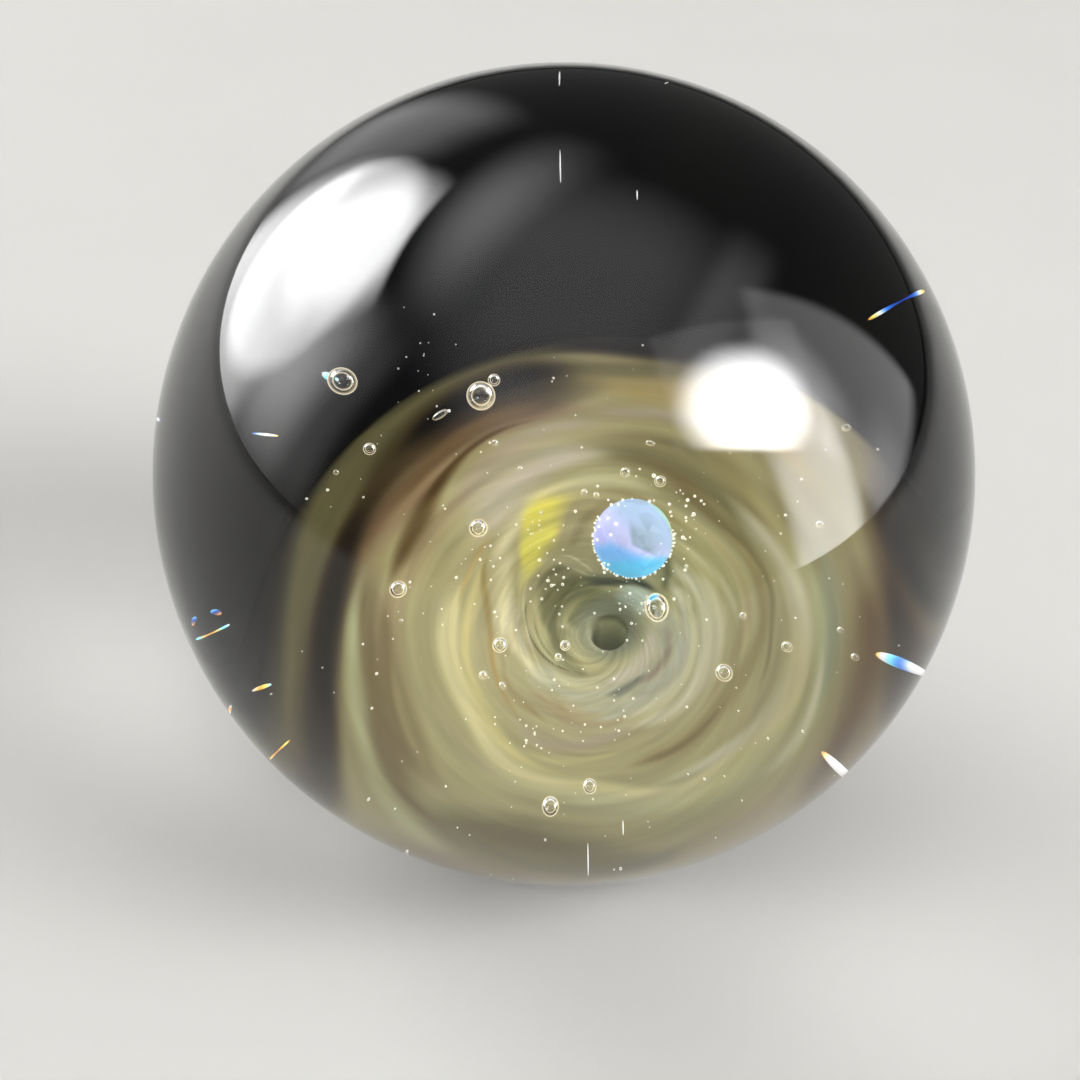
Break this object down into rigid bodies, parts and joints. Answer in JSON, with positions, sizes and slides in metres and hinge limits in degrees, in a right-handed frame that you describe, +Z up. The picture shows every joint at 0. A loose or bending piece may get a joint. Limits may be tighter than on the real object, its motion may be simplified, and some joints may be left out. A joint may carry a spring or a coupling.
{
  "type": "glass marble",
  "caption": "Glass marble with a clear front, a near-black back, and a twisted dish of sage and brown glass, a blue opal bead and air bubbles sealed inside.",
  "frame": {"origin": "centre of the ball", "axes": "+Z up and -Y to the front, as the marble sits with its vortex opening up and forwards: the vortex's own axis leans 35 degrees from +Z towards -Y, turned 12 degrees towards -X"},
  "size_m": [0.04, 0.04, 0.04],
  "materials": {
    "clear_glass": "polished, clear",
    "black_glass": "polished outside, opaque near-black",
    "sage_glass": "fused, cloudy sage and olive streaks",
    "brown_glass": "fused, deep transparent brown",
    "cream_glass": "fused, cloudy cream",
    "yellow_glass": "fused, cloudy yellow",
    "opal": "polished opal with blue and lavender fire"
  },
  "bodies": {
    "root": {"clear_glass": "clear_glass", "dark_back": "black_glass", "vortex": "sage_glass", "brown_streaks": "brown_glass", "cream_streaks": "cream_glass", "yellow_patch": "yellow_glass", "opal": "opal"}
  },
  "joints": []
}
